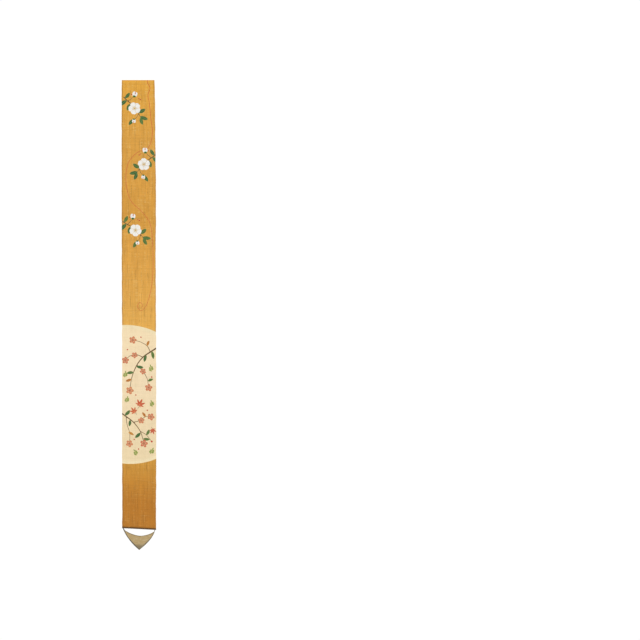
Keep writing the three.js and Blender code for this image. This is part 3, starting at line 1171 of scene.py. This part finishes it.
def ground_colour(m, across, drop, yarns):
    """Gold dye on uneven hand-spun yarn, with dark warps, pale wefts, a firmer edge and painted
    light and shade.
    """
    band = m.patches(across * 0.15, drop * 0.007, 2.0, detail=3.0)
    cloud = m.patches(across * 0.03, drop * 0.03, 6.0, detail=3.0)
    shade = yarns.tone * 0.42 + 0.77 + (band - 0.5) * 0.3 + (cloud - 0.5) * 0.16
    base = m.ramp(drop / STRIP_DROP, GROUND_STOPS)
    # Painted shade: the yarns darken where they dip under one another, following their rounded
    # height.
    base = m.shaded(base, shade * (yarns.height * 0.26 + 0.84))

    dark_run = m.patches(yarns.warp * 5.3, drop * 0.011, 11.0, detail=3.0)
    under_wefts = yarns.weft_on_top * -0.35 + 1.0
    base = m.mix(m.fade(dark_run, 0.60, 0.66) * under_wefts * 0.62, base, DARK_YARN_AND_SHADE)

    # Pale wefts in loose bands. The darker ground below the moon hides more of them.
    band = m.patches(across * 0.19, drop * 0.012, 3.0)
    pale_weft = m.patches(across * 0.04, yarns.weft * 4.1, 8.0, detail=1.0)
    pale = m.fade(band, 0.47, 0.63) * m.fade(pale_weft, 0.5, 0.6)
    pale = pale * (yarns.weft_on_top * 0.5 + 0.5) * m.fade(drop, 900, 1150, 0.6, 0.24)
    # Partly pale wefts, partly painted light from the backdrop showing through where the warps are
    # sparse, brightest in the gaps.
    base = m.mix(pale, base, PALE_AND_BACKLIT_YARN)
    base = m.mix(yarns.gaps * pale, base, BACKLIT_GAPS)
    # Painted shade in the gaps between the yarns.
    base = m.mix(yarns.gaps * 0.3, base, DARK_YARN_AND_SHADE)

    # A selvedge of closer yarns, with a darker line beside it that is stronger at the left
    edge = m.attribute("edge_mm")
    base = m.mix(m.fade(edge, 2.3, 1.5) * 0.3, base, SELVEDGE)
    run = m.patches(drop * 0.012, 0.0, 9.0, detail=3.0) * 0.8 + 0.5
    line = m.fade(edge, 1.8, 2.2) * m.fade(edge, 3.3, 2.9) * run
    base = m.mix(line * m.fade(across, -20, 20, 0.8, 0.3), base, DARK_YARN_AND_SHADE)

    slub = m.attribute("slub_tone")
    base = m.mix(slub, base, DARK_SLUB)
    return m.mix(slub * -1.0, base, PALE_SLUB)


def drawn_line(m, name):
    """Distance in millimetres from the edge of the nearest line of one colour."""
    off, gap, half = (m.attribute(name + "_" + key) for key in ("off", "gap", "half"))
    return larger(abs(off) - half, gap - half - LINE_MARGIN)


def petals(m, across, up, middle, size, twist):
    """Five petals in the nearest blossom: distance in millimetres from a petal's edge, from the
    line between two petals and from the blossom's middle, and the turn round it.

    A petal is an oval, across wide and up long, with its middle at that share of the radius
    and a shallow notch in its tip; twist turns the petals like a wheel.
    """
    x, y = m.attribute("flower_x"), m.attribute("flower_y")
    radius = diagonal(x, y)
    turn = angle_of(x, y) / TAU
    angle = (((turn + radius * twist) * 5.0 + 0.5).fraction() - 0.5) * (TAU / 5)
    u, v = radius * angle.sine(), radius * angle.cosine()

    def from_oval(centre, half_across, half_up):
        scale = min(half_across, half_up) * size
        return (diagonal(u / half_across, (v - centre) / half_up) - 1.0) * scale

    notch = from_oval(middle + up + NOTCH_DEPTH, NOTCH_ACROSS, NOTCH_UP)
    petal = larger(from_oval(middle, across, up), notch * -1.0)
    between = radius * (TAU / 10 - abs(angle)).sine() * size
    return petal, between, radius * size, turn


def stamens(m, turn, reach, count, long, thickness, head):
    """Distance from thin rays round the middle, each with a round head at its own length."""
    ray_turn = turn * count
    off = abs(ray_turn.fraction() - 0.5) * reach * (TAU / count)
    own = m.speckle(ray_turn.floor(), 5.0) * (0.3 * long) + 0.8 * long
    past = reach - own
    return smaller(larger(off - thickness, past), diagonal(off, past) - head)


def leaf_ribs(m, thin):
    """Where a leaf's middle rib and its slanting veins run."""
    rib_off = abs(m.attribute("rib_off"))
    slant = m.attribute("rib_along") - rib_off * VEIN_SLANT
    vein = abs((slant / VEIN_PITCH).fraction() - 0.5) * VEIN_PITCH - VEIN_HALF
    return larger(thin(rib_off - RIB_HALF), thin(vein) * 0.6)


def cloth_material():
    m = Recipe("dyed_plain_weave", 0.88, 0.25)
    m.shader.inputs["Sheen Weight"].default_value = 0.12
    m.shader.inputs["Sheen Roughness"].default_value = 0.5
    across = m.attribute("across_mm")
    drop = m.attribute("drop_mm")
    yarns = weave(m, across, drop)
    result = ground_colour(m, across, drop, yarns)

    # Dye edges follow the yarns, so they are a little ragged.
    ragged = m.speckle(yarns.warp, yarns.weft) * 0.2 - 0.35
    ragged = ragged + m.patches(across * 0.9, drop * 0.9) * 0.5
    # Yarn tone, with painted shade where the yarns dip under one another.
    yarn_shade = (yarns.tone - 0.5) * 0.22 + (yarns.height * 0.2 + 0.88)

    def inside(distance, soft=0.2, follow=1.0):
        return m.fade(ragged * follow + distance, soft, -soft)

    def thin(distance):
        return inside(distance, 0.12, 0.35)

    moon = m.attribute("dye_moon")
    cream = m.ramp(drop / STRIP_DROP, MOON_STOPS)
    cream = m.mix(m.fade(moon, -16, -1), cream, MOON_RIM)
    stain_and_shade = m.patches(across * 0.03, drop * 0.02, 4.0)
    cream = m.mix(m.fade(stain_and_shade, 0.5, 0.75, 0.0, 0.3), cream, MOON_STAIN)
    # Painted shade in the gaps between the moon's yarns.
    cream = m.mix(yarns.gaps * 0.35, cream, MOON_GAP_SHADE)
    halo = m.fade(moon, 1.6, 0.4) * m.fade(moon, -0.6, 0.2)
    result = m.mix(halo * 0.35, result, MOON_HALO)
    result = m.mix(inside(moon, 0.35), result, m.shaded(cream, yarn_shade))

    white_petal, white_side, white_reach, turn = petals(m, *WHITE_PETALS)
    seam = smaller(SEAM_HALF - white_side, white_reach - SEAM_START)
    white = larger(smaller(white_petal, white_reach - WHITE_HEART), seam)
    small_petal, _, small_reach, _ = petals(m, *SMALL_PETALS)
    small = smaller(small_petal, small_reach - SMALL_HEART)
    gold = smaller(stamens(m, turn, white_reach, *WHITE_STAMENS), white_reach - GOLD_HEART)
    dark = smaller(stamens(m, turn, small_reach, *SMALL_STAMENS), small_reach - DARK_HEART)
    rays = {"open_flower": (gold, GOLD_STAMENS), "small_flower": (dark, DARK_STAMENS)}
    ribs = leaf_ribs(m, thin)

    for name, colour, other in DYES:
        line = name in LINES
        distance = drawn_line(m, name) if line else m.attribute("dye_" + name)
        dyed = linear(*colour)
        if other:
            tone = "flower_tone" if name == "small_flower" else "leaf_tone"
            dyed = m.mix(m.attribute(tone), dyed, other)
        if name in RIBS:
            dyed = m.mix(ribs, dyed, RIBS[name])
        if name == "open_flower":
            distance = larger(distance, white)
            dyed = m.mix(m.fade(white_reach, 9.0, 3.5, 0.0, 0.5), dyed, WHITE_MIDDLE)
        if name == "small_flower":
            distance = larger(distance, small)
            dyed = m.mix(m.fade(small_reach, 7.5, 2.5, 0.0, 0.75), dyed, SMALL_MIDDLE)
            dyed = m.mix(m.fade(small, -1.1, -0.5, 0.0, 0.8), dyed, SMALL_RIM)
        dyed = m.shaded(dyed, yarn_shade)
        # Painted shade in the gaps between the yarns of white blossoms and buds.
        if name in ("open_flower", "bud"):
            dyed = m.mix(yarns.gaps * 0.45, dyed, WHITE_GAP_SHADE)
        ring = m.fade(distance, 0.75, 0.35) * m.fade(distance, -0.05, 0.15)
        result = m.mix(ring * 0.3, result, DYE_HALO)
        covered = inside(distance, 0.16, 0.6) if line else inside(distance)
        result = m.mix(covered, result, dyed)
        if name in rays:
            ray, ray_colour = rays[name]
            ray_colour = m.shaded(linear(*ray_colour), yarn_shade)
            result = m.mix(thin(ray) * covered, result, ray_colour)
    return m.finish(result, yarns.height, 0.0004, 0.6)


def thread_material():
    m = Recipe("hem_thread", 0.85, 0.25)
    twist = m.noise(m.object_place(), 900.0)
    colour = m.ramp(twist, [(0.3, (196, 140, 56)), (0.7, (228, 178, 92))])
    return m.finish(colour, twist, 0.0001, 0.5)


def wood_grain(m, stretch, turn, detail):
    """Noise drawn out along the grain; the stretch is its scale per metre on each axis."""
    inputs = {"Vector": m.object_place(), "Scale": stretch, "Rotation": (0.0, turn, 0.0)}
    return m.noise(m.node("Mapping", inputs).outputs[0], 1.0, detail)


def strip_material():
    m = Recipe("dark_stained_wood", 0.5, 0.25)
    grain = wood_grain(m, (40, 900, 900), STRIP_TILT, 5.0)
    wood = m.ramp(grain, [(0.25, (66, 42, 14)), (0.5, (96, 64, 24)), (0.8, (124, 88, 38))])
    wear = m.noise(m.object_place(), 60.0, 3.0)
    wood = m.mix(m.fade(wear, 0.5, 0.75, 0.0, 0.3), wood, (136, 98, 54))
    return m.finish(wood, grain, 0.0002, 0.4)


WEIGHT_WOOD = [(0.25, (165, 138, 92)), (0.5, (186, 159, 110)), (0.75, (203, 179, 133))]
# How strong the painted shade is on the outer rim at the left and at the right, on the inner rim
# and at the point
LEFT_SHADE, RIGHT_SHADE, INNER_SHADE, POINT_SHADE = 0.9, 0.66, 0.48, 0.58


def weight_material():
    """Pale waxed wood, with painted shade along its rounded edges and at its point, darker at the
    left.
    """
    m = Recipe("pale_waxed_wood", 0.42, 0.35)
    place = m.object_place()
    grain = wood_grain(m, (70, 300, 620), 0.12, 6.0)
    mottle = m.noise(place, 95.0, 3.0)
    pores = m.noise(place, 1500.0, 1.0)
    wood = m.ramp(grain, WEIGHT_WOOD)
    wood = m.mix(m.fade(mottle, 0.52, 0.72, 0.0, 0.45), wood, (203, 184, 145))
    wood = m.mix(m.fade(pores, 0.62, 0.72, 0.0, 0.35), wood, (140, 114, 76))
    axes = m.node("SeparateXYZ", (place,)).outputs
    uneven = mottle * 2.0 - 1.0
    inner = m.attribute("inner_mm") + uneven
    wider_below = m.fade(axes["Z"], -1.356, -1.374, 0.0, 1.7)
    outer = m.attribute("outer_mm") + uneven - wider_below
    # Painted shade: the rims and the point are darkened as the rounded edges would be in shade,
    # more at the left.
    stain_and_shade = m.fade(outer, 4.4, 2.0) * m.fade(axes["X"], -0.008, 0.012, LEFT_SHADE, RIGHT_SHADE)
    stain_and_shade = larger(stain_and_shade, m.fade(inner, 3.2, 1.1, 0.0, INNER_SHADE))
    stain_and_shade = larger(stain_and_shade, m.fade(axes["Z"], -1.373, -1.385, 0.0, POINT_SHADE))
    # The painted shade is mixed in last, in a dark grey brown.
    return m.finish(m.mix(stain_and_shade, wood, (82, 80, 70)), grain, 0.0002, 0.25)


# Studio

LENS = 200.0
SENSOR_WIDTH = 36.0


def make_camera():
    """Level and square to the cloth, far off with a long lens, framed as in the photograph."""
    data = bpy.data.cameras.new("camera")
    data.lens = LENS
    data.sensor_width = SENSOR_WIDTH
    data.clip_end = 60.0
    half = FRAME_PIXELS / 2
    metres_per_pixel = MM_PER_PIXEL * MM
    away = FRAME_PIXELS * metres_per_pixel * LENS / SENSOR_WIDTH
    right = (half - CENTRE_LINE_PIXEL) * metres_per_pixel
    down = (half - TOP_EDGE_PIXEL) * metres_per_pixel
    camera = bpy.data.objects.new("camera", data)
    camera.location = (right, -away, -down)
    camera.rotation_euler = (math.pi / 2, 0, 0)
    bpy.context.scene.collection.objects.link(camera)
    bpy.context.scene.camera = camera


FLOOR_Z = -1.95
FLOOR_HALF = 1.5
FLOOR_CORNERS = ((-1, -1), (1, -1), (1, 1), (-1, 1))


def make_floor():
    corners = [(FLOOR_HALF * x, FLOOR_HALF * y, FLOOR_Z) for x, y in FLOOR_CORNERS]
    floor = new_piece("floor", corners, [(0, 1, 2, 3)], False)
    m = Recipe("pale_floor", 0.8, 0.3)
    cloud = m.noise(m.object_place(), 2.0)
    colour = m.ramp(cloud, [(0.0, (238, 238, 237)), (1.0, (243, 243, 242))])
    m.feed(m.shader.inputs["Base Color"], colour)
    floor.data.materials.append(m.material)


def sun(name, strength, heading, height, softness):
    """A distant light; heading is from the camera's side towards the right, in degrees."""
    data = bpy.data.lights.new(name, "SUN")
    data.energy = strength
    data.angle = math.radians(softness)
    light = bpy.data.objects.new(name, data)
    a, e = math.radians(heading), math.radians(height)
    towards = Vector((math.sin(a) * math.cos(e), -math.cos(a) * math.cos(e), math.sin(e)))
    light.rotation_euler = towards.to_track_quat("Z", "Y").to_euler()
    bpy.context.scene.collection.objects.link(light)


def make_light():
    """Soft light from all round, a key and a fill, and a white backdrop for the camera."""
    world = bpy.data.worlds.new("studio")
    bpy.context.scene.world = world
    world.use_nodes = True
    nodes, links = world.node_tree.nodes, world.node_tree.links
    soft = nodes["Background"]
    seen = nodes.new("ShaderNodeBackground")
    for background, colour, strength in (
        (soft, (0.97, 0.985, 1.0, 1), 0.62), (seen, (1, 1, 1, 1), 1.03),
    ):
        background.inputs["Color"].default_value = colour
        background.inputs["Strength"].default_value = strength
    path = nodes.new("ShaderNodeLightPath")
    choose = nodes.new("ShaderNodeMixShader")
    links.new(path.outputs["Is Camera Ray"], choose.inputs[0])
    links.new(soft.outputs[0], choose.inputs[1])
    links.new(seen.outputs[0], choose.inputs[2])
    links.new(choose.outputs[0], nodes["World Output"].inputs["Surface"])
    sun("key", 1.15, heading=-32, height=38, softness=18)
    sun("fill", 0.35, heading=50, height=12, softness=40)
    bpy.context.scene.view_settings.view_transform = "Standard"


def dress(obj, material, slot_name, *nodes):
    """Gives a piece its finish, lets it ride with the hanging, and hides what it replaces."""
    obj.data.materials.append(material)
    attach(obj, "root")
    if nodes:
        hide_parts(*nodes)


make_camera()
dyed_cloth = cloth_material()
cloth = make_cloth()
edge_threads = make_edge_threads()
slubs = make_slubs()
stitches = make_stitches()
dress(cloth, dyed_cloth, "cloth", "cloth")
dress(edge_threads, dyed_cloth, "cloth")
dress(slubs, dyed_cloth, "cloth")
dress(stitches, thread_material(), "cloth")
dress(make_strip(), strip_material(), "strip", "bottom_strip")
dress(make_weight(), weight_material(), "weight", "weight")
make_floor()
make_light()
